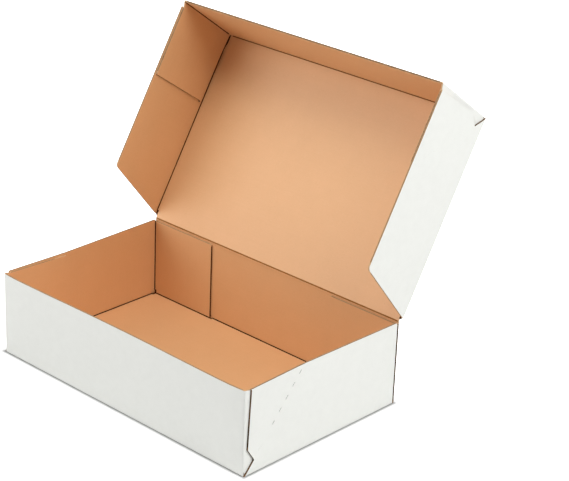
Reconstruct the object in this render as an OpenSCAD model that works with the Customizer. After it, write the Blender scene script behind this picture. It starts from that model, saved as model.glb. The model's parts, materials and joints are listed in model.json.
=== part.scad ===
// Mailer box of white corrugated board, standing open: one folded and glued blank with a hinged lid
// Millimetres. X runs along the front wall, Y towards the hinge, Z up.
// The origin is the centre of the underside.

/* [Board] */
// Thickness of the corrugated board
board_t = 1.5; // [1.3:0.1:2.5]
// Thickness of each paper liner
liner_t = 0.25; // [0.15:0.05:0.35]
// Thickness of the fluted paper between the liners
flute_t = 0.2; // [0.1:0.05:0.25]
// Distance from one flute to the next
flute_pitch = 3.3; // [2.5:0.1:8]
// Depth to which a cut edge shows the hollows between the flutes
flute_depth = 1; // [0.5:0.1:2]
// Width that a fold's score takes of each of the two panels
score_w = 0.7; // [0.4:0.1:1]
// Depth of a fold's score, from its inner corner
score_d = 0.7; // [0.3:0.1:0.9]

/* [Tray] */
// Length inside, between the end walls
inside_l = 300; // [220:1:420]
// Width inside, between the front and back walls
inside_w = 183; // [150:1:300]
// Height inside, from the floor to the rim
inside_h = 76.5; // [60:0.5:110]
// How far the end walls stop short of the front face
wall_setback = 4; // [2:0.5:8]
// Length of the front glue flaps, from the front face
front_flap_l = 70; // [40:1:90]
// Length of the rear glue flaps, from the end face
rear_flap_l = 77; // [40:1:90]
// How far the front flaps end below the rim
front_flap_drop = 1; // [0.5:0.5:4]
// How far the rear flaps end below the rim
rear_flap_drop = 1.5; // [0.5:0.5:4]
// How far the rear flaps stay clear of the floor
rear_flap_rise = 0.8; // [0.4:0.1:2]

/* [Lid] */
// Angle of the lid, open from closed, in degrees
lid_open = 120.5; // [95:0.5:180]
// Outward lean of the lid's front wall, in degrees
lid_lean = 5.5; // [0:0.5:8]
// Clearance between the lid's glue flaps and the end walls
side_gap = 0.3; // [0.2:0.1:2]
// Clearance between the closed lid's front wall and the front face
front_gap = 2.5; // [1:0.1:5]
// Clearance between the closed lid's panel and the rims
top_gap = 0.3; // [0.2:0.1:1]
// Height at which the closed lid's side walls end above the table
side_rise = 4.3; // [2:0.1:30]
// Height at which the closed lid's front wall ends above the table
front_rise = 3.3; // [2:0.1:30]
// How far the lid's side walls are cut back from the hinge at their rim
rear_cut = 31; // [10:1:60]
// Radius of that corner
rear_cut_r = 5; // [1:0.5:10]
// Length of the lid's glue flaps, from its front face
lid_flap_l = 73; // [40:1:90]
// How far the lid's flaps end below the rim
lid_flap_drop = 1; // [0.5:0.5:4]
// Gap on each side of the bead along the hinge
hinge_gap = 0.3; // [0.2:0.05:0.6]

/* [Glued corners] */
// Height up to which the corner is cut free from the side wall
notch_h = 23.5; // [16:0.5:35]
// Distance of that cut's deepest point from both folds
notch_d = 12; // [6:0.5:14]
// How far the front flaps' lower edge rises from its fold to its free end
flap_rise = 4.5; // [1:0.5:8]
// Where the tray's slanted creases meet the rim, from the corner
crease_reach = 70; // [50:1:100]
// Length of one cut of the slanted crease
perf_cut = 4.8; // [2:0.1:8]
// Distance from one cut of the crease to the next
perf_pitch = 11.7; // [9:0.1:20]
// Width of a cut of the crease
perf_w = 0.4; // [0.2:0.1:0.8]
// Distance from the crease's last cut to the rim
perf_end = 5.2; // [3:0.1:10]

/* [Hidden] */
$fn = 32;
white = "#F1F0EC";
kraft = "#C8976A";
eps = 0.01;

// Faces of the tray, from the origin
x_in = inside_l / 2;
x_out = x_in + board_t;
y_in = inside_w / 2;
y_out = y_in + board_t;
rim_z = board_t + inside_h;

// The hinge line runs in the middle of the board, just above the rims
hinge_y = y_out - board_t / 2;
hinge_z = rim_z + top_gap + board_t / 2;
hinge_half = x_out - 0.5;

// Lid: inner face of its side walls, outer face of its front wall from the hinge line, wall heights
lid_x = x_out + side_gap + board_t;
lid_reach = hinge_y + y_out + front_gap + board_t;
lid_side_h = rim_z + top_gap - side_rise;
lid_front_h = rim_z + top_gap - front_rise;
lid_rear = lid_reach - board_t - hinge_gap;
lid_shoulder = 1.8;

// Rounding of die-cut corners, and how far a flap's edge takes to draw away from its fold
cut_r = 1.2;
flap_ease = 4;

// Clear ends of a fluted cut, play between flute and liner, depth of a groove along the flutes
edge_clear = 1;
flute_play = 0.05;
groove_depth = 0.5;

// Clear ends of a score, where it comes to another fold
score_end = 3;

// Relief at the front flaps' lower corner, beside their fold, which keeps them clear of the scores
flap_relief = score_w + 0.5;

function unit(v) = v / norm(v);

// Outline from [x, y, radius] entries, with each corner rounded to its radius
function rounded(entries, steps = 5) = [
    for (i = [0 : len(entries) - 1])
        let (
            n = len(entries),
            p = [entries[i].x, entries[i].y],
            before = entries[(i + n - 1) % n],
            after = entries[(i + 1) % n],
            to_before = unit([before.x, before.y] - p),
            to_after = unit([after.x, after.y] - p),
            half = acos(to_before * to_after) / 2,
            r = entries[i].z,
            centre = p + unit(to_before + to_after) * r / sin(half),
            start = p + to_before * r / tan(half) - centre,
            turn = (180 - 2 * half) * sign(cross(start, to_after)) / steps
        )
        each r > 0
            ? [for (k = [0 : steps]) centre + [
                start.x * cos(k * turn) - start.y * sin(k * turn),
                start.x * sin(k * turn) + start.y * cos(k * turn)]]
            : [p]
];

// Both ends of the box, which mirror each other
module both_ends() {
    children();
    mirror([1, 0, 0]) children();
}

// Extrudes a section that is drawn in Y and Z along X
module along_x(length) {
    rotate([90, 0, 90]) linear_extrude(length) children();
}

// Extrudes a section that is drawn in X and Z along Y
module along_y(length) {
    translate([0, length, 0]) rotate([90, 0, 0]) linear_extrude(length) children();
}

// Section of a fold: the outer liner goes round the inner corner, from one angle on
module fold_section(from, sweep = 90) {
    intersection() {
        circle(board_t);
        polygon([
            [0, 0],
            2 * board_t * [cos(from), sin(from)],
            2 * board_t * [cos(from + sweep), sin(from + sweep)]
        ]);
    }
}

// Section of a front wall with the fold at its foot, from that fold's inner corner
module wall_section(height, lean) {
    rotate(lean) translate([-board_t, 0]) square([board_t, height]);
    fold_section(180 + lean, 90 - lean);
}

// Section of the score in a fold's inner corner, between a panel along the first axis and one that
// stands at the angle from it
module score_section(angle = 90) {
    root = score_d * [cos(180 + angle / 2), sin(180 + angle / 2)];
    mouth = [score_w * [1, 0], score_w * [cos(angle), sin(angle)]];
    polygon([root, for (p = mouth) root + 1.1 * (p - root)]);
}

// Places a cut edge: X runs along it, Y across the board, Z out of the cut
module at_cut(start, along, across) {
    out = cross(along, across);
    multmatrix([
        [along.x, across.x, out.x, start.x],
        [along.y, across.y, out.y, start.y],
        [along.z, across.z, out.z, start.z]
    ])
        children();
}

// Hollows on both sides of the fluted paper, where the board is cut across its flutes
module flute_hollows(length) {
    turns = floor((length - 2 * edge_clear) / flute_pitch);
    first = (length - turns * flute_pitch) / 2;
    last = first + turns * flute_pitch;
    trough = liner_t + flute_play;
    crest = board_t - liner_t - flute_play - flute_t;
    wave = [for (i = [0 : 2 * turns]) [first + i * flute_pitch / 2, i % 2 == 0 ? trough : crest]];
    upper_wave = [for (p = wave) p + [0, flute_t]];
    translate([0, 0, -flute_depth])
        linear_extrude(flute_depth + eps) {
            polygon(concat([[first, liner_t]], wave, [[last, liner_t]]));
            polygon(concat([[first, board_t - liner_t]], upper_wave, [[last, board_t - liner_t]]));
        }
}

// Groove between the liners, where the board is cut along its flutes
module flute_groove(length) {
    translate([edge_clear, liner_t, -groove_depth])
        cube([length - 2 * edge_clear, board_t - 2 * liner_t, groove_depth + eps]);
}

// Cuts of the slanted crease, along a line that rises from the corner at the origin
module crease_cuts(reach, height) {
    run = norm([reach, height]);
    room = run - perf_end - perf_cut - norm([notch_d, notch_d]);
    rotate(atan2(height, reach))
        for (i = [0 : floor(room / perf_pitch)])
            translate([run - perf_end - perf_cut - i * perf_pitch, -perf_w / 2])
                square([perf_cut, perf_w]);
}

// The glued corners of tray and lid are drawn in one frame: Y is counted back from the front
// wall's outer face, Z up from the panel's outer face, and half_l is the side wall's inner face.

// Front wall with the folds at its foot and at both its ends, which run into each other
module front_wall(half_l, height, lean) {
    flat = half_l - board_t;
    translate([0, board_t, board_t]) {
        difference() {
            translate([-flat, 0, 0]) along_x(2 * flat) wall_section(height, lean);
            rotate([lean, 0, 0])
                at_cut([-flat, -board_t, height], [1, 0, 0], [0, 1, 0]) flute_hollows(2 * flat);
        }
        both_ends()
            translate([flat, 0, 0])
                intersection() {
                    along_x(board_t) wall_section(height, lean);
                    rotate([lean, 0, 0])
                        translate([0, 0, -2 * board_t])
                            linear_extrude(height + 3 * board_t) fold_section(270);
                }
    }
}

// Glue flap of the front wall, folded back along the inside of the side wall. Its outline is drawn
// from the inner corner at the wall's foot, with the wall upright.
module front_flap(half_l, front_h, rim_h, lean, length) {
    function upright(p) = [p.x * cos(lean) + p.y * sin(lean), p.y * cos(lean) - p.x * sin(lean)];
    toe = upright([flap_relief, flap_relief]);
    foot = upright([length - board_t, flap_rise]);
    head = upright([length - board_t - rim_h * tan(lean), rim_h]);
    shoulder = upright([flap_ease - front_h * sin(lean), rim_h]);
    rim_along = unit(head - shoulder);
    end_along = unit(head - foot);
    translate([half_l - board_t, board_t, board_t])
        rotate([lean, 0, 0])
            difference() {
                along_x(board_t)
                    polygon(rounded([
                        [0, 0, 0], [toe.x, toe.y, 0], [foot.x, foot.y, cut_r], [head.x, head.y, cut_r],
                        [shoulder.x, shoulder.y, 0], [0, front_h, 0]
                    ]));
                at_cut([board_t, shoulder.x, shoulder.y], [0, rim_along.x, rim_along.y], [-1, 0, 0])
                    flute_hollows(norm(head - shoulder) - cut_r);
                at_cut([0, foot.x, foot.y], [0, end_along.x, end_along.y], [1, 0, 0])
                    flute_groove(norm(head - foot));
            }
}

// Side wall with the fold at its foot, the freed corner and the slanted crease, which meets the rim
// at reach. rear_outline holds the outline's entries from the panel's rear end to the rim.
module side_wall(half_l, rim_h, lean, reach, rear_outline) {
    rim = board_t + rim_h;
    rim_y = wall_setback - rim_h * tan(lean);
    notch_y = wall_setback - (notch_h - board_t) * tan(lean);
    front_along = unit([rim_y - notch_y, rim - notch_h]);
    rear_y = rear_outline[0].x;
    difference() {
        intersection() {
            translate([half_l, 0, 0])
                along_x(board_t)
                    polygon(rounded(concat(
                        [[board_t / 2, 0, 0]],
                        rear_outline,
                        [[rim_y, rim, cut_r], [notch_y, notch_h, cut_r], [notch_d, notch_d, cut_r]]
                    )));
            translate([half_l, min(0, rim_y), board_t])
                along_y(rear_y - min(0, rim_y)) {
                    square([board_t, rim_h]);
                    fold_section(270);
                }
        }
        translate([half_l - eps, 0, 0]) along_x(board_t + 2 * eps) crease_cuts(reach, rim);
        at_cut([half_l + board_t, notch_y, notch_h], [0, front_along.x, front_along.y], [-1, 0, 0])
            flute_hollows(norm([rim_y - notch_y, rim - notch_h]));
    }
}

// Scores of the folds at the foot of the front wall and of both side walls, which reach back to
// rear_y
module foot_scores(half_l, lean, rear_y) {
    foot_half = half_l - board_t - score_end;
    side_y = notch_d + score_end;
    translate([-foot_half, board_t, board_t]) along_x(2 * foot_half) score_section(90 + lean);
    both_ends()
        translate([half_l, side_y, board_t])
            along_y(rear_y - score_end - side_y) rotate(90) score_section();
}

// Scores of the folds at both ends of the front wall
module end_scores(half_l, height, lean) {
    both_ends()
        translate([half_l - board_t, board_t, board_t])
            rotate([lean, 0, 0])
                translate([0, 0, score_end]) linear_extrude(height) rotate(90) score_section();
}

module floor_panel() {
    color(white) translate([-x_in, -y_in, 0]) cube([2 * x_in, 2 * y_in, board_t]);
}

module end_wall() {
    rear_y = y_out + y_in - board_t;
    color(white)
        difference() {
            side_wall(x_in, inside_h, 0, crease_reach, [[rear_y, 0, 0], [rear_y, rim_z, 0]]);
            at_cut([x_out, wall_setback, rim_z], [0, 1, 0], [-1, 0, 0])
                flute_groove(rear_y - wall_setback);
        }
}

// Glue flap of an end wall, folded round and glued to the inside of the back wall
module rear_flap() {
    height = inside_h - rear_flap_drop;
    free_h = height - rear_flap_rise;
    length = rear_flap_l - board_t;
    color(kraft)
        translate([x_in, y_in - board_t, board_t]) {
            intersection() {
                translate([0, 0, -2 * board_t]) linear_extrude(height + 2 * board_t) fold_section(0);
                rotate(90) along_x(board_t) wall_section(height, 0);
            }
            difference() {
                translate([0, board_t, 0])
                    rotate([90, 0, 0])
                        linear_extrude(board_t)
                            polygon([
                                [0, 0], [0, height], [-length, height],
                                [-length, rear_flap_rise], [-flap_ease, rear_flap_rise]
                            ]);
                at_cut([-length, 0, rear_flap_rise], [0, 0, 1], [0, 1, 0]) flute_hollows(free_h);
                at_cut([-length, 0, height], [1, 0, 0], [0, 1, 0]) flute_groove(length);
            }
        }
}

// Back wall from the fold at its foot to the bead along the hinge
module back_wall() {
    height = hinge_z - board_t;
    color(white)
        difference() {
            translate([-hinge_half, 0, 0]) {
                translate([0, y_in, board_t]) cube([2 * hinge_half, board_t, height]);
                translate([0, y_in, board_t]) along_x(2 * hinge_half) fold_section(270);
                translate([0, hinge_y, hinge_z]) along_x(2 * hinge_half) circle(board_t / 2);
            }
            both_ends() {
                translate([x_out, y_out + eps, 0])
                    rotate([90, 0, 0])
                        linear_extrude(board_t + 2 * eps)
                            mirror([1, 0]) crease_cuts(crease_reach, rim_z);
                at_cut([hinge_half, y_out, board_t], [0, 0, 1], [0, -1, 0]) flute_groove(height);
            }
        }
}

// Score at the foot of the back wall, between the rear flaps
module rear_foot_score() {
    foot_half = x_in - rear_flap_l - edge_clear;
    translate([-foot_half, y_in, board_t]) along_x(2 * foot_half) rotate(90) score_section();
}

// Scores of the folds where the rear flaps turn round from the end walls
module rear_flap_scores() {
    both_ends()
        translate([x_in, y_in - board_t, board_t + score_end])
            linear_extrude(inside_h) rotate(180) score_section();
}

module tray_walls() {
    difference() {
        union() {
            floor_panel();
            back_wall();
            translate([0, -y_out, 0]) {
                color(white) front_wall(x_in, inside_h, 0);
                both_ends() end_wall();
            }
        }
        translate([0, -y_out, 0]) foot_scores(x_in, 0, y_out + y_in - board_t);
        rear_foot_score();
    }
}

module tray() {
    difference() {
        union() {
            tray_walls();
            both_ends() {
                rear_flap();
                translate([0, -y_out, 0])
                    color(kraft)
                        front_flap(x_in, inside_h, inside_h - front_flap_drop, 0, front_flap_l);
            }
        }
        translate([0, -y_out, 0]) end_scores(x_in, inside_h, 0);
        rear_flap_scores();
    }
}

// Panel of the lid, with the rounded edge that lies along the hinge bead
module lid_panel() {
    side_y = lid_rear - lid_shoulder;
    color(white) {
        linear_extrude(board_t)
            polygon([
                [-lid_x, board_t], [lid_x, board_t], [lid_x, side_y],
                [hinge_half, lid_rear], [-hinge_half, lid_rear], [-lid_x, side_y]
            ]);
        translate([-hinge_half, lid_rear, board_t / 2])
            along_x(2 * hinge_half) circle(board_t / 2);
    }
}

// Side wall of the lid, cut back on a slant from the hinge
module lid_side_wall() {
    rim = board_t + lid_side_h;
    foot = [lid_rear - lid_shoulder, board_t];
    head = [lid_reach - rear_cut, rim];
    rear_along = unit(head - foot);
    rim_y = wall_setback - lid_side_h * tan(lid_lean);
    color(white)
        difference() {
            side_wall(lid_x, lid_side_h, lid_lean, lid_flap_l - lid_side_h * tan(lid_lean),
                [[foot.x, 0, 0], [foot.x, foot.y, 0], [head.x, head.y, rear_cut_r]]);
            at_cut([lid_x, foot.x, foot.y], [0, rear_along.x, rear_along.y], [1, 0, 0])
                flute_hollows(norm(head - foot) - rear_cut_r);
            at_cut([lid_x + board_t, rim_y, rim], [0, 1, 0], [-1, 0, 0])
                flute_groove(head.x - rim_y - rear_cut_r);
        }
}

module lid_walls() {
    difference() {
        union() {
            lid_panel();
            color(white) front_wall(lid_x, lid_front_h, lid_lean);
            both_ends() lid_side_wall();
        }
        foot_scores(lid_x, lid_lean, lid_rear - lid_shoulder);
    }
}

// The lid lies on its back here, with its walls upright, and is then turned to its open angle
module lid() {
    translate([0, hinge_y, hinge_z])
        rotate([180 - lid_open, 0, 0])
            translate([0, lid_reach, -board_t / 2])
                mirror([0, 1, 0])
                    difference() {
                        union() {
                            lid_walls();
                            color(kraft)
                                both_ends()
                                    front_flap(lid_x, lid_front_h, lid_side_h - lid_flap_drop,
                                        lid_lean, lid_flap_l);
                        }
                        end_scores(lid_x, lid_front_h, lid_lean);
                    }
}

tray();
lid();
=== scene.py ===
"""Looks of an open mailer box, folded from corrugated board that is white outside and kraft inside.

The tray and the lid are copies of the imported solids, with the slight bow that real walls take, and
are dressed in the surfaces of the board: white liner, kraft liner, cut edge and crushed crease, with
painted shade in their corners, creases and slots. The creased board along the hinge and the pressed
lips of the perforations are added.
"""

import json
import logging
import math
from collections.abc import Iterable
from dataclasses import dataclass, field
from enum import Enum

import bmesh
import bpy
from mathutils import Matrix, Vector
from mathutils.bvhtree import BVHTree
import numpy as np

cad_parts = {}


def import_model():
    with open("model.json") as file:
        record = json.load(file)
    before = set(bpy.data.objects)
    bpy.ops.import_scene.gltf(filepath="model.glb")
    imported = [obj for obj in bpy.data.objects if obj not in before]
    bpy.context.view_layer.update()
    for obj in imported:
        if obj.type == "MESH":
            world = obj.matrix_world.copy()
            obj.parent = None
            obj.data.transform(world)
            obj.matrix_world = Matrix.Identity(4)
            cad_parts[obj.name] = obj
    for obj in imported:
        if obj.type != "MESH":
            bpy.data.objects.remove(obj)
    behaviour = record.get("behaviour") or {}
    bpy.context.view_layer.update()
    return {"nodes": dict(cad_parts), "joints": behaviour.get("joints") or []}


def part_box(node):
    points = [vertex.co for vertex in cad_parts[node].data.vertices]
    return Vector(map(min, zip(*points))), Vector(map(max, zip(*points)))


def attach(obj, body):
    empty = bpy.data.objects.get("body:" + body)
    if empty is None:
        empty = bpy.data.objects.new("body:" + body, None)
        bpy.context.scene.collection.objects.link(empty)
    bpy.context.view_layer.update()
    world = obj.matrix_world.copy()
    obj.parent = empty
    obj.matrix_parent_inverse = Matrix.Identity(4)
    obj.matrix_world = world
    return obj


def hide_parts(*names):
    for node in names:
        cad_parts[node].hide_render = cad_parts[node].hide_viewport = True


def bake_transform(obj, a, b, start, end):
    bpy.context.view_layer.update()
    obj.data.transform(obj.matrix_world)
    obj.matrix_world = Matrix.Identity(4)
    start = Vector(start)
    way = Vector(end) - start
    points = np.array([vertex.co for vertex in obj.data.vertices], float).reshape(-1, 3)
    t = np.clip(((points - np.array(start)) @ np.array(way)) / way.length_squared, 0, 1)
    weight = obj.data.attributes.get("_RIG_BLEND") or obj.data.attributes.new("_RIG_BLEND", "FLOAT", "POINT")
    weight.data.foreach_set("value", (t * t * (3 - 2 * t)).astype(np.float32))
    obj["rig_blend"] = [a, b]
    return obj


Socket = bpy.types.NodeSocket
Material = bpy.types.Material
Object = bpy.types.Object
Tree = bpy.types.NodeTree
Mesh = bmesh.types.BMesh

MM = 0.001
X = Vector((1, 0, 0))
Y = Vector((0, 1, 0))
Z = Vector((0, 0, 1))
OPENNESS = "openness"
SHEET = "sheet"
HINGE_INSET = 0.55 * MM
CUT_SLACK = 1e-7

# Shares of a face's normal that lie along a direction, at which the face counts as facing it.
SAME_WAY = 0.9995
ALONG_ROUND = 0.98
ACROSS_AXIS = 0.3
FACING_UP = 0.99
TURNED = 0.7

log = logging.getLogger("mailer_box")


class Surface(Enum):
    """A surface of the board, with the number of its material slot on a board piece."""

    WHITE = 0
    KRAFT = 1
    CUT = 2
    CREASE = 3


def linear(colour: str) -> tuple[float, float, float, float]:
    """Turns an sRGB hex colour into linear light.

    Args:
        colour: The colour, such as "#C8976A".

    Returns:
        Red, green, blue and an alpha of 1.
    """
    parts = [int(colour[i : i + 2], 16) / 255 for i in (1, 3, 5)]
    light = [p / 12.92 if p <= 0.04045 else ((p + 0.055) / 1.055) ** 2.4 for p in parts]
    return (*light, 1.0)


def smooth_share(value: float) -> float:
    """Eases a share from 0 to 1 in and out."""
    share = min(1.0, max(0.0, value))
    return share * share * (3 - 2 * share)


def add_node(
    tree: Tree,
    kind: str,
    inputs: dict[int | str, object] | None = None,
    **settings: object,
) -> bpy.types.Node:
    """Adds a node with its settings, values and links.

    Args:
        tree: The tree that gets the node.
        kind: The node's type, such as "ShaderNodeMath".
        inputs: Values or output sockets for its inputs, by number or name.
        settings: Properties of the node, such as operation="ADD".

    Returns:
        The new node.
    """
    node = tree.nodes.new(kind)
    for name, value in settings.items():
        setattr(node, name, value)
    for key, value in (inputs or {}).items():
        if isinstance(value, Socket):
            tree.links.new(value, node.inputs[key])
        else:
            node.inputs[key].default_value = value
    return node


def new_object(name: str, mesh: Mesh, materials: Iterable[Material]) -> Object:
    """Turns a mesh under construction into an object at the origin.

    Args:
        name: The object's name.
        mesh: The mesh, which is freed.
        materials: The materials of its slots, in their order.

    Returns:
        The object, linked to the scene.
    """
    data = bpy.data.meshes.new(name)
    mesh.to_mesh(data)
    mesh.free()
    for material in materials:
        data.materials.append(material)
    piece = bpy.data.objects.new(name, data)
    bpy.context.scene.collection.objects.link(piece)
    return piece


@dataclass
class Paper:
    """A paper's material while it is made up: its colour so far and its relief so far."""

    name: str
    colour: str
    fine_share: float = 0.6

    def __post_init__(self) -> None:
        """Makes the material, its shader and the coordinates that its patterns lie on."""
        self.material = bpy.data.materials.new(self.name)
        self.material.use_nodes = True
        self.tree = self.material.node_tree
        self.tree.nodes.clear()
        self.shader = add_node(self.tree, "ShaderNodeBsdfPrincipled")
        self.output = add_node(
            self.tree, "ShaderNodeOutputMaterial", {"Surface": self.shader.outputs["BSDF"]}
        )
        self.place = add_node(self.tree, "ShaderNodeTexCoord").outputs["Object"]
        self.sheet = add_node(self.tree, "ShaderNodeUVMap", uv_map=SHEET).outputs["UV"]
        self.openness = add_node(
            self.tree, "ShaderNodeAttribute", attribute_name=OPENNESS
        ).outputs["Fac"]
        self.base: Socket | tuple[float, ...] = linear(self.colour)
        self.normal: Socket | None = None

    def pattern(self, length: float, width: float | None = None, detail: float = 4.0) -> Socket:
        """Adds a cloudy pattern whose blots have a real size.

        Args:
            length: Length of a blot, in metres, across the flutes if it has a width too.
            width: Its width along the flutes, if the pattern follows the flat sheet.
            detail: How many finer layers of blots it has.

        Returns:
            The pattern, mostly between 0.3 and 0.7.
        """
        where = self.sheet if width else self.place
        sizes = (1 / length, 1 / (width or length), 1 / length)
        scaled = add_node(
            self.tree, "ShaderNodeVectorMath", {0: where, 1: sizes}, operation="MULTIPLY"
        )
        values = {
            "Vector": scaled.outputs[0],
            "Scale": 1.0,
            "Detail": detail,
            "Roughness": self.fine_share,
        }
        return add_node(self.tree, "ShaderNodeTexNoise", values).outputs[0]

    def tint(self, pattern: Socket, span: tuple[float, float], colour: str) -> None:
        """Lays a colour over the paper where a pattern is strong.

        Args:
            pattern: The pattern.
            span: The pattern's values at which none of the colour and all of it shows.
            colour: The colour, as sRGB hex.
        """
        share = add_node(self.tree, "ShaderNodeMapRange", {0: pattern, 1: span[0], 2: span[1]})
        values = {"Factor": share.outputs[0], 6: self.base, 7: linear(colour)}
        self.base = add_node(self.tree, "ShaderNodeMix", values, data_type="RGBA").outputs[2]

    def ribs(self, pitch: float, height: float) -> None:
        """Raises the flutes that show through a liner.

        Args:
            pitch: Distance between flutes, in metres.
            height: How high they stand, in metres.
        """
        across = add_node(self.tree, "ShaderNodeSeparateXYZ", {0: self.sheet}).outputs["X"]
        turns = {0: across, 1: 2 * math.pi / pitch}
        phase = add_node(self.tree, "ShaderNodeMath", turns, operation="MULTIPLY")
        wave = add_node(self.tree, "ShaderNodeMath", {0: phase.outputs[0]}, operation="COSINE")
        share = add_node(self.tree, "ShaderNodeMapRange", {0: wave.outputs[0], 1: -1.0, 2: 1.0})
        relief = {"Height": share.outputs[0], "Distance": height, "Strength": 1.0}
        self.normal = add_node(self.tree, "ShaderNodeBump", relief).outputs[0]

    def finish(self, grain: Socket, height: float, roughness: float, specular: float) -> Material:
        """Raises the grain, links colour and relief, and sets how the surface shines.

        Args:
            grain: The pattern of the surface's fine relief.
            height: The relief's height, in metres.
            roughness: The roughness.
            specular: The specular level.

        Returns:
            The finished material.
        """
        relief: dict[int | str, object] = {"Height": grain, "Distance": height, "Strength": 1.0}
        if self.normal:
            relief["Normal"] = self.normal
        raised = add_node(self.tree, "ShaderNodeBump", relief)
        self.tree.links.new(self.base, self.shader.inputs["Base Color"])
        self.tree.links.new(raised.outputs[0], self.shader.inputs["Normal"])
        self.shader.inputs["Roughness"].default_value = roughness
        self.shader.inputs["Specular IOR Level"].default_value = specular
        return self.material


@dataclass(frozen=True)
class KraftLiner:
    """Unbleached kraft paper, machine-made: a warm brown with long pulp fibres in it.

    The eye sees a soft cloudy brown with a low sheen, streaks along the paper machine's direction,
    short dark and light fibres, the faint ribs of the flutes, and painted shade, a deeper brown, in the
    corners.
    """

    name: str = "kraft_liner_paper"
    brown: str = "#E4B280"
    cloud: str = "#DEAC79"
    dark_fibre: str = "#B98C5E"
    light_fibre: str = "#ECC69F"
    # Painted shade: the brown that the corners darken to as their openness falls.
    painted_shade: str = "#6E3C13"
    clouded: tuple[float, float] = (0.0, 1.0)
    streaked: tuple[float, float] = (0.35, 1.2)
    dark_fibres: tuple[float, float] = (0.6, 0.95)
    light_fibres: tuple[float, float] = (0.4, 0.1)
    # Openness at which the painted corner shade starts and at which it is full.
    corners: tuple[float, float] = (0.55, 0.0)
    roughness: float = 0.54
    specular: float = 0.65
    cloud_size: float = 16 * MM
    # A real fibre is about 0.03 mm wide, too fine to show: each one here stands for a tuft.
    fibre_length: float = 2.6 * MM
    fibre_width: float = 0.35 * MM
    fibre_detail: float = 3.0
    streak_length: float = 60 * MM
    streak_width: float = 2.2 * MM
    rib_pitch: float = 3.3 * MM
    rib_height: float = 0.015 * MM
    grain_height: float = 0.02 * MM

    def material(self) -> Material:
        """Builds the material.

        Returns:
            The finished material.
        """
        paper = Paper(self.name, self.brown)
        streaks = paper.pattern(self.streak_length, self.streak_width, self.fibre_detail)
        fibres = paper.pattern(self.fibre_length, self.fibre_width, self.fibre_detail)
        paper.tint(paper.pattern(self.cloud_size), self.clouded, self.cloud)
        paper.tint(streaks, self.streaked, self.cloud)
        paper.tint(fibres, self.dark_fibres, self.dark_fibre)
        paper.tint(fibres, self.light_fibres, self.light_fibre)
        # Painted shade in the corners and creases.
        paper.tint(paper.openness, self.corners, self.painted_shade)
        paper.ribs(self.rib_pitch, self.rib_height)
        return paper.finish(fibres, self.grain_height, self.roughness, self.specular)


@dataclass(frozen=True)
class WhiteLiner:
    """Bleached white top liner on kraft, calendered: smooth, faintly mottled, with a low sheen, and with
    grey painted shade in its corners.
    """

    name: str = "white_top_liner_paper"
    white: str = "#EEEFEA"
    mottle: str = "#EBECE7"
    # Painted shade: the grey that the corners darken to as their openness falls.
    painted_shade: str = "#B9B5AA"
    mottled: tuple[float, float] = (0.3, 0.75)
    corners: tuple[float, float] = (0.7, 0.1)
    roughness: float = 0.6
    specular: float = 0.3
    mottle_size: float = 7 * MM
    # The real grain is about 0.2 mm, too fine to show, so it is drawn coarser and very low.
    grain_size: float = 0.9 * MM
    rib_pitch: float = 3.3 * MM
    rib_height: float = 0.008 * MM
    grain_height: float = 0.01 * MM

    def material(self) -> Material:
        """Builds the material.

        Returns:
            The finished material.
        """
        paper = Paper(self.name, self.white)
        paper.tint(paper.pattern(self.mottle_size), self.mottled, self.mottle)
        # Painted shade in the corners.
        paper.tint(paper.openness, self.corners, self.painted_shade)
        paper.ribs(self.rib_pitch, self.rib_height)
        grain = paper.pattern(self.grain_size)
        return paper.finish(grain, self.grain_height, self.roughness, self.specular)


@dataclass(frozen=True)
class CutEdge:
    """Die-cut edge of the board: torn kraft pulp, rough, with painted shade where it looks into flutes
    and, darker, in the slots of the glued corners.
    """

    name: str = "die_cut_board_edge"
    brown: str = "#DDBB94"
    dark: str = "#C7A27A"
    # Painted shade: the edge darkens to these two colours in the flutes' hollows and in the slots as its
    # openness falls.
    hollow_shade: str = "#86613C"
    painted_shade: str = "#33291F"
    torn: tuple[float, float] = (0.3, 0.7)
    flutes: tuple[float, float] = (0.6, 0.2)
    slots: tuple[float, float] = (0.1, 0.06)
    roughness: float = 0.95
    specular: float = 0.1
    pulp_size: float = 0.5 * MM
    pulp_height: float = 0.05 * MM

    def material(self) -> Material:
        """Builds the material.

        Returns:
            The finished material.
        """
        paper = Paper(self.name, self.brown)
        pulp = paper.pattern(self.pulp_size)
        paper.tint(pulp, self.torn, self.dark)
        # Painted shade in the flutes' hollows and, darker, in the slots.
        paper.tint(paper.openness, self.flutes, self.hollow_shade)
        paper.tint(paper.openness, self.slots, self.painted_shade)
        return paper.finish(pulp, self.pulp_height, self.roughness, self.specular)


@dataclass(frozen=True)
class CrushedShadedCrease:
    """Kraft liner that the creasing rule has crushed: rougher than the flat sheet, and darker, partly as
    crushed liner and partly as painted shade of the crease's groove and of the flaps' ends in the slots.
    """

    name: str = "crushed_and_shaded_kraft_crease"
    brown: str = "#A87340"
    dark: str = "#8A5A2A"
    # Painted shade: the brown that the crease darkens to as its openness falls.
    painted_shade: str = "#4E2808"
    crushed: tuple[float, float] = (0.3, 0.7)
    corners: tuple[float, float] = (0.7, 0.2)
    roughness: float = 0.9
    specular: float = 0.1
    crush_size: float = 1.6 * MM
    crush_height: float = 0.06 * MM

    def material(self) -> Material:
        """Builds the material.

        Returns:
            The finished material.
        """
        paper = Paper(self.name, self.brown)
        crush = paper.pattern(self.crush_size)
        paper.tint(crush, self.crushed, self.dark)
        # Painted shade where the crease is closed in.
        paper.tint(paper.openness, self.corners, self.painted_shade)
        return paper.finish(crush, self.crush_height, self.roughness, self.specular)


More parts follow.
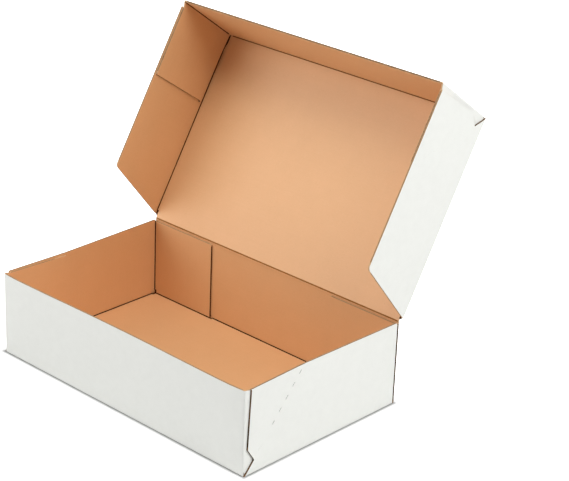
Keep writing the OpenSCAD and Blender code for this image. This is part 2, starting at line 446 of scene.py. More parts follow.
@dataclass(frozen=True)
class Openness:
    """How open each corner of each face is to its surroundings, by which the papers darken with painted
    shade in corners, creases and slots.
    """

    reach: float = 40 * MM
    fade: float = 6.5 * MM
    inset: float = 0.12 * MM
    lift: float = 0.01 * MM
    ways_told_apart: int = 20
    rings: tuple[tuple[float, int], ...] = ((25.0, 4), (50.0, 6), (72.0, 6))

    def rays(self, normal: Vector) -> list[Vector]:
        """Lists directions spread over the half sphere round a normal.

        Args:
            normal: The normal, of length 1.

        Returns:
            The directions, with the normal first.
        """
        side = normal.orthogonal().normalized()
        found = [normal.copy()]
        for angle, count in self.rings:
            tilted = normal * math.cos(math.radians(angle)) + side * math.sin(math.radians(angle))
            for i in range(count):
                turn = Matrix.Rotation(2 * math.pi * (i + angle / 90) / count, 3, normal)
                found.append(turn @ tilted)
        return found

    def at(self, tree: BVHTree, place: Vector, normal: Vector) -> float:
        """Measures the openness of one place, from 0 to 1.

        Args:
            tree: The board's faces.
            place: The place, on a face.
            normal: The face's normal.

        Returns:
            0 if all is close by, 1 if nothing is within reach.
        """
        total = 0.0
        rays = self.rays(normal)
        for ray in rays:
            distance = tree.ray_cast(place + normal * self.lift, ray, self.reach)[3]
            total += 1.0 if distance is None else 1.0 - math.exp(-distance / self.fade)
        return total / len(rays)

    def mark(self, mesh: Mesh) -> None:
        """Writes the openness of every face corner into the mesh's attribute.

        Args:
            mesh: The mesh, with its indices up to date.
        """
        tree = BVHTree.FromBMesh(mesh)
        layer = mesh.loops.layers.float.new(OPENNESS)
        known: dict[tuple[int, int, int, int], float] = {}
        for face in mesh.faces:
            centre = face.calc_center_median()
            turned = tuple(round(c * self.ways_told_apart) for c in face.normal)
            for loop in face.loops:
                key = (loop.vert.index, *turned)
                if key not in known:
                    inwards = centre - loop.vert.co
                    step = min(self.inset, inwards.length / 3)
                    place = loop.vert.co + inwards.normalized() * step
                    known[key] = self.at(tree, place, face.normal)
                loop[layer] = known[key]


@dataclass(frozen=True)
class Plane:
    """A liner's plane on a board: its outward normal, a point on it, and how the sheet lies there.

    across is the direction across the flutes, in which U runs, and along is the flutes' own.
    """

    normal: Vector
    point: Vector
    surface: Surface
    across: Vector
    along: Vector

    def holds(self, centre: Vector, normal: Vector, slack: float) -> bool:
        """Tells whether a face lies in this plane and points the same way."""
        away = abs((centre - self.point).dot(self.normal))
        return away < slack and normal.dot(self.normal) > SAME_WAY


@dataclass(frozen=True)
class Fold:
    """A fold: the line of its inner corner, along which the outer liner goes round."""

    point: Vector
    axis: Vector
    radius: float
    score: float = 0.85 * MM

    def surface_of(self, centre: Vector, normal: Vector, slack: float) -> Surface | None:
        """Tells whether a face is this fold's outer round or its score, or neither.

        Args:
            centre: The face's centre.
            normal: The face's normal.
            slack: How far off the round it may be.

        Returns:
            The surface, or None if it is neither.
        """
        reach = centre - self.point
        reach = reach - reach.dot(self.axis) * self.axis
        on_round = abs(reach.length - self.radius) < slack
        if on_round and normal.dot(reach.normalized()) > ALONG_ROUND:
            return Surface.WHITE
        # A score's faces take the crease surface, darker partly as crushed liner and partly as painted shade
        # of the groove.
        if reach.length < self.score and abs(normal.dot(self.axis)) < ACROSS_AXIS:
            return Surface.CREASE
        return None


@dataclass
class Board:
    """A folded half of the box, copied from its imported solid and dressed."""

    node: str
    thickness: float = 1.5 * MM
    cell: float = 9 * MM
    corner_cells: tuple[float, ...] = (0.8 * MM, 2.2 * MM, 4.5 * MM)
    smooth_angle: float = 24.0
    slack: float = 0.06 * MM
    doubles: float = 0.002 * MM
    flat_angle: float = 0.4
    # The slots' openness is scaled by the first share, which paints shade there; up-facing kraft keeps at
    # least the second, which holds the painted corner shade off the panels.
    slot_light: float = 0.12
    panel_light: float = 0.5
    outer_board: float = 0.98
    flap_board: tuple[float, float] = (1.02, 1.98)
    openness: Openness = field(default_factory=Openness)
    all_planes: list[Plane] = field(init=False, default_factory=list)
    all_folds: list[Fold] = field(init=False, default_factory=list)

    def turned(self) -> Matrix:
        """Returns the turn and place of this half's own frame, in which its panels are square."""
        return Matrix.Identity(4)

    def planes(self) -> list[Plane]:
        """Lists the liners' planes, in the half's own frame."""
        return []

    def side_planes(self, reach: float) -> list[Plane]:
        """Lists the planes of the walls at both ends and of the flaps glued inside them.

        Args:
            reach: How far out the walls' outer faces are.

        Returns:
            The planes.
        """
        t = self.thickness
        found = []
        for out in (-X, X):
            found += [
                Plane(out, out * reach, Surface.WHITE, Z, Y),
                Plane(-out, out * (reach - t), Surface.KRAFT, Z, Y),
                Plane(out, out * (reach - t), Surface.WHITE, Y, Z),
                Plane(-out, out * (reach - 2 * t), Surface.KRAFT, Y, Z),
            ]
        return found

    def folds(self) -> list[Fold]:
        """Lists the folds, in the half's own frame."""
        return []

    def hinge_cut(self) -> tuple[Vector, Vector]:
        """Returns the plane past which the creased hinge takes over from the board."""
        return Vector((0, 0, 0)), Z

    def bowed(self, point: Vector) -> Vector:
        """Returns where a point of the half's own frame goes as the walls bow."""
        return point

    def slot_surface(self, point: Vector) -> Surface | None:
        """Returns the surface that paints the shade of a glued corner's slot at a point, if it is in one."""
        return None

    def surface_of(self, centre: Vector, normal: Vector) -> tuple[Surface, Plane | None]:
        """Finds the surface that a face belongs to.

        Args:
            centre: The face's centre, in the half's own frame.
            normal: The face's normal there.

        Returns:
            The surface, and its plane if it is flat.
        """
        for plane in self.all_planes:
            if plane.holds(centre, normal, self.slack):
                return plane.surface, plane
        for fold in self.all_folds:
            surface = fold.surface_of(centre, normal, self.slack)
            if surface:
                return surface, None
        return Surface.CUT, None

    def merged_copy(self, source: Object) -> Mesh:
        """Copies the solid's mesh into the half's own frame, with its doubles merged.

        Args:
            source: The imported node's object, which stays as it is.

        Returns:
            The copy.
        """
        mesh = bmesh.new()
        mesh.from_mesh(source.data)
        bmesh.ops.remove_doubles(mesh, verts=mesh.verts, dist=self.doubles)
        mesh.transform(self.turned().inverted())
        bmesh.ops.dissolve_limit(
            mesh,
            angle_limit=math.radians(self.flat_angle),
            use_dissolve_boundaries=False,
            verts=mesh.verts,
            edges=mesh.edges,
        )
        return mesh

    def end_at_hinge(self, mesh: Mesh) -> None:
        """Cuts the board off where the creased hinge takes over, and closes it.

        Args:
            mesh: The half's mesh.
        """
        place, out = self.hinge_cut()
        geometry = mesh.verts[:] + mesh.edges[:] + mesh.faces[:]
        found = bmesh.ops.bisect_plane(
            mesh, geom=geometry, dist=CUT_SLACK, plane_co=place, plane_no=out, clear_outer=True
        )
        rim = [e for e in found["geom_cut"] if isinstance(e, bmesh.types.BMEdge)]
        bmesh.ops.edgeloop_fill(mesh, edges=rim)

    def cut_cells(self, mesh: Mesh) -> None:
        """Cuts the mesh into cells, finer beside the folds, so that it can bow.

        Args:
            mesh: The half's mesh.
        """
        for axis in (X, Y, Z):
            reach = [v.co.dot(axis) for v in mesh.verts]
            low, high = min(reach), max(reach)
            count = max(1, round((high - low) / self.cell))
            places = [low + (high - low) * step / count for step in range(1, count)]
            for end, side in ((low, 1), (high, -1)):
                places += [end + side * (2 * self.thickness + c) for c in self.corner_cells]
            for place in places:
                geometry = mesh.verts[:] + mesh.edges[:] + mesh.faces[:]
                bmesh.ops.bisect_plane(
                    mesh, geom=geometry, dist=CUT_SLACK, plane_co=axis * place, plane_no=axis
                )

    def lay_sheet(self, mesh: Mesh) -> None:
        """Gives each face its material and its place on the flat sheet.

        Args:
            mesh: The half's mesh.
        """
        layer = mesh.loops.layers.uv.new(SHEET)
        for face in mesh.faces:
            surface, plane = self.surface_of(face.calc_center_median(), face.normal)
            face.material_index = surface.value
            face.smooth = True
            across = plane.across if plane else (X if abs(face.normal.x) < TURNED else Y)
            along = plane.along if plane else face.normal.cross(across)
            for loop in face.loops:
                loop[layer].uv = (loop.vert.co.dot(across), loop.vert.co.dot(along))

    def in_flap(self, depth: float) -> bool:
        """Tells whether a depth below a wall's outer face lies inside the flap glued to it."""
        low, high = self.flap_board
        return low * self.thickness < depth < high * self.thickness

    def settle_openness(self, mesh: Mesh) -> None:
        """Paints shade into the slots of the glued corners, and keeps the painted corner shade low on the
        widest panel.

        Args:
            mesh: The half's mesh, with its openness.
        """
        layer = mesh.loops.layers.float[OPENNESS]
        for face in mesh.faces:
            if face.material_index == Surface.WHITE.value:
                continue
            if face.material_index == Surface.KRAFT.value and face.normal.z > FACING_UP:
                for loop in face.loops:
                    loop[layer] = max(loop[layer], self.panel_light)
            # A slot's faces take a darker surface and a lower openness: painted shade.
            surface = self.slot_surface(face.calc_center_median())
            if surface:
                face.material_index = surface.value
                for loop in face.loops:
                    loop[layer] *= self.slot_light

    def build(self, source: Object, finishes: list[Material]) -> Object:
        """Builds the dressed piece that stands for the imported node.

        Args:
            source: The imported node's object.
            finishes: The board's materials, by Surface.

        Returns:
            The piece, riding on its body.
        """
        self.all_planes = self.planes()
        self.all_folds = self.folds()
        mesh = self.merged_copy(source)
        self.end_at_hinge(mesh)
        self.cut_cells(mesh)
        mesh.normal_update()
        self.lay_sheet(mesh)
        mesh.verts.index_update()
        self.openness.mark(mesh)
        self.settle_openness(mesh)
        limit = math.radians(self.smooth_angle)
        for edge in mesh.edges:
            edge.smooth = len(edge.link_faces) == 2 and edge.calc_face_angle(0.0) < limit
        for vert in mesh.verts:
            vert.co = self.bowed(vert.co.copy())
        mesh.transform(self.turned())
        piece = new_object(f"{self.node}_board", mesh, finishes)
        shade = piece.modifiers.new("even_shading", "WEIGHTED_NORMAL")
        shade.keep_sharp = True
        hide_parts(self.node)
        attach(piece, self.node)
        return piece


@dataclass
class Tray(Board):
    """The box itself: floor, four walls and four glued flaps."""

    node: str = "tray"
    bow: float = 2.5 * MM
    crease_reach: float = 70 * MM
    swell: float = 1.5 * MM
    swell_peak: float = 22 * MM
    swell_length: float = 120 * MM
    bead_rise: float = 1.8 * MM
    hinge_take_over: float = 0.65 * MM
    # How far below the rim the painted shade of the slots and the flaps' ends stops, and the notch at each
    # front corner that it fills.
    flap_hollows: float = 2.6 * MM
    rim_hollows: float = 0.3 * MM
    notch_depth: float = 4 * MM
    notch_height: float = 14 * MM
    notch_boards: float = 1.9
    bow_start: float = 12 * MM
    bow_ease: float = 8 * MM
    swell_start: float = 8 * MM
    swell_ease: float = 4 * MM
    swell_foot: float = 25 * MM

    def __post_init__(self) -> None:
        """Reads the tray's outer faces from the frame."""
        low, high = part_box(self.node)
        self.half_length = high.x
        self.half_width = -low.y
        self.hinge_height = high.z - self.thickness / 2
        self.rim = high.z - self.bead_rise
        self.flap_top = self.rim - self.flap_hollows

    def planes(self) -> list[Plane]:
        """Lists the tray's liner planes.

        Returns:
            The planes.
        """
        t = self.thickness
        x, y = self.half_length, self.half_width
        white, kraft = Surface.WHITE, Surface.KRAFT
        found = [
            Plane(-Z, Vector((0, 0, 0)), white, X, Y),
            Plane(Z, Vector((0, 0, t)), kraft, X, Y),
            Plane(-Y, Vector((0, -y, 0)), white, X, Z),
            Plane(Y, Vector((0, -y + t, 0)), kraft, X, Z),
            Plane(Y, Vector((0, y, 0)), white, X, Z),
            Plane(-Y, Vector((0, y - t, 0)), kraft, X, Z),
            Plane(-Y, Vector((0, y - 2 * t, 0)), kraft, Z, X),
        ]
        return found + self.side_planes(x)

    def folds(self) -> list[Fold]:
        """Lists the tray's folds.

        Returns:
            The folds.
        """
        t = self.thickness
        x, y = self.half_length - t, self.half_width - t
        found = [Fold(Vector((0, -y, t)), X, t), Fold(Vector((0, y, t)), X, t)]
        for side in (-1, 1):
            found += [
                Fold(Vector((side * x, 0, t)), Y, t),
                Fold(Vector((side * (x - t), -y, 0)), Z, t),
                Fold(Vector((side * x, y - t, 0)), Z, t),
            ]
        return found

    def hinge_cut(self) -> tuple[Vector, Vector]:
        """Returns the plane just below the hinge line."""
        return Vector((0, 0, self.hinge_height - self.hinge_take_over)), Z

    def slot_surface(self, point: Vector) -> Surface | None:
        """Returns the surface that paints shade in a slot: at a wall's end or a perforation, or on a flap's
        end.

        Args:
            point: A face's centre.

        Returns:
            The cut surface, the crushed crease's as painted shade on a flap's end, or None outside the
            slots.
        """
        end = abs(point.x) > self.half_length - self.outer_board * self.thickness
        back = point.y > self.half_width - self.outer_board * self.thickness
        corner = abs(point.x) > self.half_length - self.notch_boards * self.thickness
        corner = corner and point.y < self.notch_depth - self.half_width
        corner = corner and point.z < self.notch_height
        flap = self.in_flap(self.half_length - abs(point.x))
        flap = flap or self.in_flap(self.half_width - point.y)
        if corner or (point.z < self.rim - self.rim_hollows and (end or back)):
            return Surface.CUT
        return Surface.CREASE if flap and point.z < self.flap_top else None

    def end_bow(self, point: Vector) -> float:
        """Returns how far an end wall bows in: most where the slanted crease meets the rim.

        Args:
            point: A point of the tray.

        Returns:
            The way inwards, 0 away from the end walls.
        """
        start = self.half_length - self.bow_start
        share = smooth_share((abs(point.x) - start) / self.bow_ease)
        back = point.y + self.half_width
        depth = 2 * self.half_width
        height = min(1.0, max(0.0, point.z / self.rim))
        crease = self.crease_reach * height
        if back <= crease:
            amount = back / self.crease_reach
        else:
            amount = height * (depth - back) / (depth - crease)
        return self.bow * share * max(0.0, amount)

    def front_swell(self, point: Vector) -> float:
        """Returns how far the front wall swells out beside its glued corners.

        Args:
            point: A point of the tray.

        Returns:
            The way outwards, 0 away from the front wall.
        """
        wall = smooth_share((-point.y - self.half_width + self.swell_start) / self.swell_ease)
        height = smooth_share(point.z / self.swell_foot)
        away = self.half_length - abs(point.x)
        if away < self.swell_peak:
            share = 1 - (1 - max(0.0, away) / self.swell_peak) ** 2
        else:
            share = 1 - smooth_share((away - self.swell_peak) / self.swell_length)
        return self.swell * wall * height * share

    def bowed(self, point: Vector) -> Vector:
        """Bows the end walls inwards and swells the front wall beside its corners."""
        moved = point - X * math.copysign(self.end_bow(point), point.x)
        return moved - Y * self.front_swell(point)


@dataclass
class Lid(Board):
    """The lid: panel, front wall, two side walls and two glued flaps."""

    node: str = "lid"
    open_angle: float = 120.5
    lean: float = 5.5
    hinge: Vector = field(default_factory=lambda: Vector((0, 0, 0)))
    reach: float = 189.25 * MM
    side_height: float = 75.5 * MM
    hinge_take_over: float = 2.2 * MM
    slit_depth: float = 16 * MM
    slit_height: float = 60 * MM
    flap_top: float = 73 * MM

    def __post_init__(self) -> None:
        """Reads the lid's outer side from the frame."""
        self.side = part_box(self.node)[1].x

    def turned(self) -> Matrix:
        """Returns the lid's own frame: Y from the hinge to the front, Z into the lid."""
        turn = Matrix.Rotation(math.radians(180 - self.open_angle), 4, "X")
        return Matrix.Translation(self.hinge) @ turn

    def front_corner(self) -> tuple[Vector, Vector, Vector]:
        """Returns the inner corner of the front wall's foot, its way up and its way out.

        Returns:
            The corner, then the two ways, of length 1.
        """
        lean = math.radians(self.lean)
        corner = Vector((0, self.reach - self.thickness, self.thickness / 2))
        up = Vector((0, math.sin(lean), math.cos(lean)))
        out = Vector((0, math.cos(lean), -math.sin(lean)))
        return corner, up, out

    def planes(self) -> list[Plane]:
        """Lists the lid's liner planes.

        Returns:
            The planes.
        """
        t = self.thickness
        white, kraft = Surface.WHITE, Surface.KRAFT
        corner, up, out = self.front_corner()
        found = [
            Plane(-Z, Vector((0, 0, -t / 2)), white, X, Y),
            Plane(Z, Vector((0, 0, t / 2)), kraft, X, Y),
            Plane(out, corner + out * t, white, X, up),
            Plane(-out, corner, kraft, X, up),
        ]
        return found + self.side_planes(self.side)

    def folds(self) -> list[Fold]:
        """Lists the lid's folds.

        Returns:
            The folds.
        """
        t = self.thickness
        x = self.side - t
        corner, up, _ = self.front_corner()
        found = [Fold(corner, X, t)]
        for side in (-1, 1):
            found += [
                Fold(Vector((side * x, 0, t / 2)), Y, t),
                Fold(corner + X * side * (x - t), up, t),
            ]
        return found

    def slot_surface(self, point: Vector) -> Surface | None:
        """Returns the surface that paints shade in a slot: at the side wall's freed front corner, or on a
        flap's end.

        Args:
            point: A face's centre.

        Returns:
            The cut surface, the crushed crease's as painted shade on a flap's end, or None outside the
            slots.
        """
        end = abs(point.x) > self.side - self.outer_board * self.thickness
        if end and point.y > self.reach - self.slit_depth and point.z < self.slit_height:
            return Surface.CUT
        flap = self.in_flap(self.side - abs(point.x)) and point.z < self.flap_top
        return Surface.CREASE if flap else None

    def hinge_cut(self) -> tuple[Vector, Vector]:
        """Returns the plane just in front of the hinge line."""
        return Vector((0, self.hinge_take_over, 0)), -Y


@dataclass
class HingeFold:
    """The creased board along the hinge, which bends between the tray's back wall and the lid.

    Its section is drawn about the hinge line: how far a point lies up the tray's wall or the lid's
    panel, and how far to the kraft side of the board's middle.
    """

    hinge: Vector
    open_angle: float
    half_length: float
    half_board: float = 0.78 * MM
    root: float = 0.42 * MM
    outer_root: float = 0.7 * MM
    tray_rows: tuple[float, ...] = (2.4 * MM, 1.9 * MM, 0.95 * MM, 0.45 * MM)
    lid_rows: tuple[float, ...] = (0.45 * MM, 0.95 * MM, 2.7 * MM, 3.2 * MM)
    tuck: float = 0.25 * MM
    bend: float = 1.6 * MM
    slices: int = 60
    sharp_angle: float = 35.0
    openness: Openness = field(default_factory=Openness)

    def ways(self) -> tuple[Vector, Vector, Vector]:
        """Returns the way up the lid, the lid's kraft side, and the way through the fold.

        Returns:
            The three ways, of length 1.
        """
        lean = math.radians(self.open_angle - 90)
        up = Vector((0, math.sin(lean), math.cos(lean)))
        kraft_side = Vector((0, -math.cos(lean), math.sin(lean)))
        return up, kraft_side, (up + Z).normalized()

    def section(self) -> list[tuple[Vector, Surface]]:
        """Lists the section's points, each with the surface of the stretch that starts there.

        Returns:
            The points, round the section once.
        """
        up, kraft_side, through = self.ways()
        inwards = X.cross(through)
        found: list[tuple[Vector, Surface]] = []
        for side, surface in ((1, Surface.KRAFT), (-1, Surface.WHITE)):
            depths = [self.half_board - self.tuck] + [self.half_board] * 3
            tray = [-Z * row - Y * side * d for row, d in zip(self.tray_rows, depths)]
            lid = [up * row + kraft_side * side * d for row, d in zip(self.lid_rows, depths[::-1])]
            root = inwards * side * (self.root if side > 0 else self.outer_root)
            points = tray + [root] + lid
            marks = [surface] * len(points)
            if side > 0:
                # The fold's root on the kraft side takes the crease surface, darker partly as crushed liner
                # and partly as painted shade of the gap.
                marks[3] = marks[4] = Surface.CREASE
            else:
                points.reverse()
            found += zip(points, marks)
        return found

    def build(self, finishes: list[Material]) -> Object:
        """Builds the fold as one closed skin over the end of the wall and the end of the panel.

        Args:
            finishes: The board's materials, by Surface.

        Returns:
            The piece, bending between tray and lid.
        """
        mesh = bmesh.new()
        section = self.section()
        rings = []
        for step in range(self.slices + 1):
            x = self.half_length * (2 * step / self.slices - 1)
            rings.append([mesh.verts.new(self.hinge + X * x + p) for p, _ in section])
        count = len(section)
        for first, second in zip(rings, rings[1:]):
            for i, (_, surface) in enumerate(section):
                j = (i + 1) % count
                face = mesh.faces.new((first[i], first[j], second[j], second[i]))
                face.material_index = surface.value
        for ring in (rings[0], rings[-1]):
            mesh.faces.new(ring).material_index = Surface.CUT.value
        bmesh.ops.recalc_face_normals(mesh, faces=mesh.faces)
        sheet = mesh.loops.layers.uv.new(SHEET)
        for face in mesh.faces:
            face.smooth = abs(face.normal.x) < TURNED
            for loop in face.loops:
                loop[sheet].uv = (loop.vert.co.x, loop.vert.co.z)
        mesh.verts.index_update()
        self.openness.mark(mesh)
        for edge in mesh.edges:
            edge.smooth = edge.calc_face_angle(0.0) < math.radians(self.sharp_angle)
        piece = new_object("hinge_crease", mesh, finishes)
        _, _, through = self.ways()
        step = through * self.bend
        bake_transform(piece, "tray", "lid", start=self.hinge - step, end=self.hinge + step)
        return piece


class Lip(Enum):
    """How a cut of the perforated crease looks from outside."""

    OPEN = 0
    PRESSED = 1


@dataclass(frozen=True)
class PerforatedCrease:
    """One slanted crease: a row of knife cuts whose lips the knife has raised.

    place is the corner that the crease starts from, along its way on the wall and out the wall's
    outward normal. Only the cuts nearest the rim stand open. The others have closed again.
    """

    name: str
    body: str
    place: Vector
    along: Vector
    out: Vector
    run: float
    start: float
    open_cuts: int
    cut: float = 4.8 * MM
    pitch: float = 11.7 * MM
    end: float = 5.2 * MM
    lip_radius: float = 0.16 * MM
    lip_width: float = 0.62 * MM
    open_width: float = 0.9 * MM
    oval_steps: int = 28
    bead_steps: int = 8
    dome_steps: int = 20
    dome_rings: int = 10
    dome_height: float = 2.4

    def tree(self, lip: Lip, material: Material) -> Tree:
        """Builds the node tree of a row of lips along X, counted back from the rim's end.

        Args:
            lip: Whether the row's cuts stand open.
            material: The lips' material.

        Returns:
            The tree, with named inputs for the row's sizes.
        """
        tree = bpy.data.node_groups.new(f"{self.name}_{lip.name.lower()}_lips", "GeometryNodeTree")
        tree.interface.new_socket("Geometry", in_out="OUTPUT", socket_type="NodeSocketGeometry")
        tree.interface.new_socket("Cuts", in_out="INPUT", socket_type="NodeSocketInt")
        for name in ("Nearest", "Pitch", "Length", "Width", "Lip"):
            tree.interface.new_socket(name, in_out="INPUT", socket_type="NodeSocketFloat")
        sizes = add_node(tree, "NodeGroupInput").outputs
        start = add_node(tree, "ShaderNodeCombineXYZ", {0: sizes["Nearest"]}).outputs[0]
        back = add_node(tree, "ShaderNodeMath", {0: sizes["Pitch"], 1: -1.0}, operation="MULTIPLY")
        offset = add_node(tree, "ShaderNodeCombineXYZ", {0: back.outputs[0]}).outputs[0]
        line = {"Count": sizes["Cuts"], "Start Location": start, "Offset": offset}
        row = add_node(tree, "GeometryNodeMeshLine", line)
        flat = {0: sizes["Length"], 1: sizes["Width"], 2: 1.0}
        if lip is Lip.OPEN:
            scale = add_node(tree, "ShaderNodeCombineXYZ", flat).outputs[0]
            round_cut = {"Resolution": self.oval_steps, "Radius": 0.5}
            ring = add_node(tree, "GeometryNodeCurvePrimitiveCircle", round_cut).outputs[0]
            stretch = {"Geometry": ring, "Scale": scale}
            oval = add_node(tree, "GeometryNodeTransform", stretch).outputs[0]
            section = {"Resolution": self.bead_steps, "Radius": sizes["Lip"]}
            bead = add_node(tree, "GeometryNodeCurvePrimitiveCircle", section).outputs[0]
            sweep = {"Curve": oval, "Profile Curve": bead}
            shape = add_node(tree, "GeometryNodeCurveToMesh", sweep)
        else:
            round_dome = {"Segments": self.dome_steps, "Rings": self.dome_rings, "Radius": 0.5}
            ball = add_node(tree, "GeometryNodeMeshUVSphere", round_dome).outputs[0]
            rise = {0: sizes["Lip"], 1: self.dome_height}
            flat[2] = add_node(tree, "ShaderNodeMath", rise, operation="MULTIPLY").outputs[0]
            dome = add_node(tree, "ShaderNodeCombineXYZ", flat).outputs[0]
            shape = add_node(tree, "GeometryNodeTransform", {"Geometry": ball, "Scale": dome})
        spots = {"Points": row.outputs[0], "Instance": shape.outputs[0]}
        placed = add_node(tree, "GeometryNodeInstanceOnPoints", spots)
        real = add_node(tree, "GeometryNodeRealizeInstances", {0: placed.outputs[0]})
        smooth = add_node(tree, "GeometryNodeSetShadeSmooth", {0: real.outputs[0]})
        dress = {"Geometry": smooth.outputs[0], "Material": material}
        dressed = add_node(tree, "GeometryNodeSetMaterial", dress)
        add_node(tree, "NodeGroupOutput", {0: dressed.outputs[0]})
        return tree

    def row(self, lip: Lip, first: int, count: int, material: Material) -> bpy.types.Mesh:
        """Makes the lips of a stretch of the crease as a plain mesh.

        Args:
            lip: Whether its cuts stand open.
            first: Number of its first cut, from the rim.
            count: How many cuts it has.
            material: The lips' material.

        Returns:
            The mesh, along X from the crease's own corner.
        """
        tree = self.tree(lip, material)
        holder = bpy.data.objects.new(f"{self.name}_row", bpy.data.meshes.new(f"{self.name}_row"))
        bpy.context.scene.collection.objects.link(holder)
        modifier = holder.modifiers.new("lips", "NODES")
        modifier.node_group = tree
        nearest = self.run - self.end - self.cut / 2 - first * self.pitch
        sizes = {
            "Cuts": count,
            "Nearest": nearest,
            "Pitch": self.pitch,
            "Length": self.cut + self.lip_width,
            "Width": self.open_width if lip is Lip.OPEN else self.lip_width,
            "Lip": self.lip_radius,
        }
        for item in tree.interface.items_tree:
            if item.name in sizes:
                modifier[item.identifier] = sizes[item.name]
        shapes = bpy.context.evaluated_depsgraph_get()
        mesh = bpy.data.meshes.new_from_object(holder.evaluated_get(shapes))
        bpy.data.objects.remove(holder)
        return mesh

    def build(self, finishes: list[Material], tray: Tray) -> Object:
        """Builds the crease's lips in their place on the wall.

        Args:
            finishes: The board's materials, by Surface.
            tray: The tray, whose walls' bow the lips on it follow.

        Returns:
            The piece, riding on its body.
        """
        room = self.run - self.end - self.cut - self.start
        count = math.floor(room / self.pitch) + 1
        opened = min(self.open_cuts, count)
        white = finishes[Surface.WHITE.value]
        joined = bmesh.new()
        stretches = ((Lip.OPEN, 0, opened), (Lip.PRESSED, opened, count - opened))
        for lip, first, number in stretches:
            if number:
                mesh = self.row(lip, first, number, white)
                joined.from_mesh(mesh)
                bpy.data.meshes.remove(mesh)
        sideways = self.out.cross(self.along)
        turn = Matrix((self.along, sideways, self.out)).transposed().to_4x4()
        joined.transform(Matrix.Translation(self.place) @ turn)
        if self.body == tray.node:
            for vert in joined.verts:
                vert.co = tray.bowed(vert.co.copy())
        joined.normal_update()
        sheet = joined.loops.layers.uv.new(SHEET)
        shade = joined.loops.layers.float.new(OPENNESS)
        for face in joined.faces:
            face.material_index = 0
            for loop in face.loops:
                loop[sheet].uv = (loop.vert.co.y, loop.vert.co.z)
                loop[shade] = 1.0
        piece = new_object(self.name, joined, [white])
        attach(piece, self.body)
        return piece


def creases(
    tray: Tray, lid: Lid, flap_length: float = 73 * MM, notch: float = 12 * MM, open_cuts: int = 5
) -> Iterable[PerforatedCrease]:
    """Lists the perforated creases of the tray's end walls and the lid's side walls.

    Args:
        tray: The tray.
        lid: The lid.
        flap_length: Length of the lid's glue flaps, at whose end the lid's creases meet the rim.
        notch: Width and height of the freed corner that each crease starts past.
        open_cuts: How many cuts of each crease on the tray still stand open.

    Yields:
        Each crease.
    """
    slope = math.tan(math.radians(lid.lean))
    lid_reach = flap_length - (lid.side_height - lid.thickness) * slope
    for side, word in ((-1, "left"), (1, "right")):
        tray_corner = Vector((side * tray.half_length, -tray.half_width, 0))
        tray_way = Vector((0, tray.crease_reach, tray.rim))
        lid_corner = lid.turned() @ Vector((side * lid.side, lid.reach, -lid.thickness / 2))
        lid_way = Vector((0, -lid_reach, lid.side_height))
        lid_turned = lid.turned().to_3x3() @ lid_way
        for body, corner, way, turned_way, opened in (
            ("tray", tray_corner, tray_way, tray_way, open_cuts),
            ("lid", lid_corner, lid_way, lid_turned, 0),
        ):
            yield PerforatedCrease(
                name=f"{body}_{word}_crease",
                body=body,
                place=corner,
                along=turned_way.normalized(),
                out=X * side,
                run=way.length,
                start=math.hypot(notch, notch),
                open_cuts=opened,
            )


@dataclass(frozen=True)
class Softbox:
    """A square softbox: the way to it from the box, its distance, its side and its power."""

    name: str
    way: tuple[float, float, float]
    power: float
    size: float = 1.0
    distance: float = 2.2

    def build(self, aim: Vector) -> None:
        """Hangs the softbox, facing a point.

        Args:
            aim: The point.
        """
        light = bpy.data.lights.new(self.name, "AREA")
        light.shape = "SQUARE"
        light.size = self.size
        light.energy = self.power
        lamp = bpy.data.objects.new(self.name, light)
        lamp.location = aim + Vector(self.way).normalized() * self.distance
        lamp.rotation_euler = (aim - lamp.location).to_track_quat("-Z", "Y").to_euler()
        bpy.context.scene.collection.objects.link(lamp)


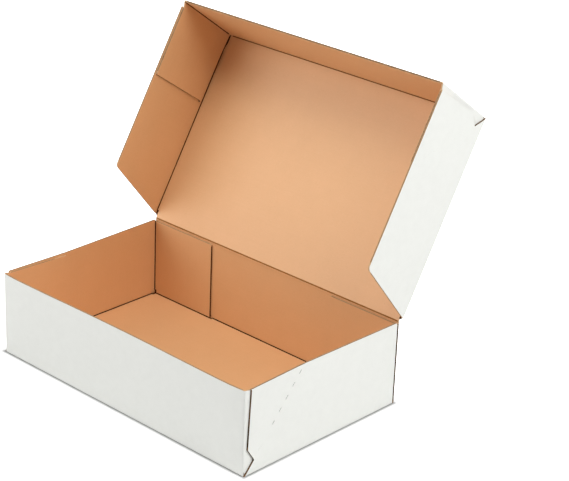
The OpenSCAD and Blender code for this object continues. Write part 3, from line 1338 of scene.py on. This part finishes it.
@dataclass(frozen=True)
class Studio:
    """White floor and background, softboxes round and above the box, and a fixed camera."""

    floor_size: float = 8.0
    floor_colour: str = "#E4E4E4"
    floor_roughness: float = 0.9
    # A painted contact shadow: the floor is this grey at the box's footprint and turns to the floor colour
    # over this width.
    contact_shadow_colour: str = "#ADADAD"
    contact_shadow_width: float = 1.8 * MM
    glow_from: float = 9 * MM
    footprint: tuple[float, float, float] = (151.5 * MM, 93 * MM, 0.0)
    room_light: float = 0.01
    aim: tuple[float, float, float] = (0.0, 0.03, 0.1)
    softboxes: tuple[Softbox, ...] = (
        Softbox("front_left", (-0.55, -0.7, 0.4), 28.2, size=1.8),
        Softbox("overhead", (0.1, -0.25, 0.95), 19.2, size=1.2),
        Softbox("right_high", (0.7, -0.1, 0.7), 14.2),
        Softbox("right_behind", (0.75, 0.35, 0.5), 20.2),
        Softbox("rear_left", (-0.45, 0.85, 0.35), 14.4),
    )
    lens: float = 118.97
    camera_place: tuple[float, float, float] = (1.05358, -1.04048, 0.77807)
    camera_turn: tuple[float, float, float] = (66.478, -2.174, 43.453)

    def beside_box(self, paper: Paper) -> Socket:
        """Adds the distance from the box's footprint to a place on the floor.

        Args:
            paper: The floor's material.

        Returns:
            The distance's socket, in metres.
        """
        steps = (
            ("ABSOLUTE", {}),
            ("SUBTRACT", {1: self.footprint}),
            ("MAXIMUM", {1: (0.0, 0.0, 0.0)}),
            ("LENGTH", {}),
        )
        place = paper.place
        for operation, values in steps:
            values = {0: place, **values}
            node = add_node(paper.tree, "ShaderNodeVectorMath", values, operation=operation)
            place = node.outputs[0]
        return node.outputs["Value"]

    def shown_white(self, tree: Tree) -> Socket:
        """Adds the share of white that a ray finds: all for the camera, for gloss and for glass.

        Args:
            tree: The floor's or the world's tree.

        Returns:
            The share's socket, 0 or 1.
        """
        rays = add_node(tree, "ShaderNodeLightPath").outputs
        direct = {0: rays["Is Camera Ray"], 1: rays["Is Glossy Ray"]}
        mirrored = add_node(tree, "ShaderNodeMath", direct, operation="ADD")
        every = {0: mirrored.outputs[0], 1: rays["Is Transmission Ray"]}
        white = add_node(tree, "ShaderNodeMath", every, operation="ADD", use_clamp=True)
        return white.outputs[0]

    def floor(self) -> Object:
        """Builds the floor, which is pure white to the camera but for the object's shadow and a painted
        contact shadow round the box's footprint.

        Returns:
            The floor.
        """
        mesh = bmesh.new()
        bmesh.ops.create_grid(mesh, x_segments=8, y_segments=8, size=self.floor_size / 2)
        # The floor's colour is a painted contact shadow at the footprint, turning to the floor colour past
        # it.
        paper = Paper("matt_white_sweep", self.contact_shadow_colour)
        beside = self.beside_box(paper)
        paper.tint(beside, (0.0, self.contact_shadow_width), self.floor_colour)
        paper.tree.links.new(paper.base, paper.shader.inputs["Base Color"])
        paper.shader.inputs["Roughness"].default_value = self.floor_roughness
        past = {0: beside, 1: self.contact_shadow_width / 2, 2: self.glow_from}
        share = add_node(paper.tree, "ShaderNodeMapRange", past)
        seen = {0: self.shown_white(paper.tree), 1: share.outputs[0]}
        strength = add_node(paper.tree, "ShaderNodeMath", seen, operation="MULTIPLY")
        white = {"Color": linear("#FFFFFF"), "Strength": strength.outputs[0]}
        glow = add_node(paper.tree, "ShaderNodeEmission", white)
        parts = {0: paper.shader.outputs[0], 1: glow.outputs[0]}
        both = add_node(paper.tree, "ShaderNodeAddShader", parts)
        paper.tree.links.new(both.outputs[0], paper.output.inputs["Surface"])
        piece = new_object("floor", mesh, [paper.material])
        return piece

    def world(self) -> None:
        """Sets the even light of the room, and white behind everything."""
        world = bpy.data.worlds.new("studio")
        bpy.context.scene.world = world
        world.use_nodes = True
        tree = world.node_tree
        tree.nodes.clear()
        room, shown = (
            add_node(
                tree, "ShaderNodeBackground", {"Color": linear("#FFFFFF"), "Strength": strength}
            )
            for strength in (self.room_light, 1.0)
        )
        sides = {0: self.shown_white(tree), 1: room.outputs[0], 2: shown.outputs[0]}
        mix = add_node(tree, "ShaderNodeMixShader", sides)
        add_node(tree, "ShaderNodeOutputWorld", {"Surface": mix.outputs[0]})

    def camera(self) -> None:
        """Places the camera where a fit to the photograph's corners of the box puts it."""
        data = bpy.data.cameras.new("camera")
        data.sensor_fit = "HORIZONTAL"
        data.sensor_width = 36.0
        data.lens = self.lens
        camera = bpy.data.objects.new("camera", data)
        camera.location = self.camera_place
        camera.rotation_euler = [math.radians(a) for a in self.camera_turn]
        bpy.context.scene.collection.objects.link(camera)
        bpy.context.scene.camera = camera

    def build(self) -> None:
        """Builds the whole studio."""
        self.floor()
        self.world()
        for softbox in self.softboxes:
            softbox.build(Vector(self.aim))
        self.camera()


def corners(bounds: tuple[Vector, Vector]) -> list[list[float]]:
    """Turns a box of two corners into plain numbers."""
    return [list(corner) for corner in bounds]


def main() -> None:
    """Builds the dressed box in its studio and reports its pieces."""
    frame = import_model()
    bpy.context.scene.view_settings.view_transform = "Standard"
    Studio().build()
    papers = (WhiteLiner(), KraftLiner(), CutEdge(), CrushedShadedCrease())
    finishes = [paper.material() for paper in papers]
    joint = frame["joints"][0]
    hinge = Vector(joint["pos_m"])
    open_angle = -joint["range_deg"][0]
    tray = Tray()
    lid = Lid(hinge=hinge, open_angle=open_angle)
    fold = HingeFold(hinge, open_angle, tray.half_length - HINGE_INSET)
    pieces = [half.build(frame["nodes"][half.node], finishes) for half in (tray, lid)]
    pieces.append(fold.build(finishes))
    pieces += [crease.build(finishes, tray) for crease in creases(tray, lid)]
    for piece in pieces:
        log.info("%s: %d faces", piece.name, len(piece.data.polygons))


if __name__ == "__main__":
    logging.basicConfig(level=logging.INFO)
    main()
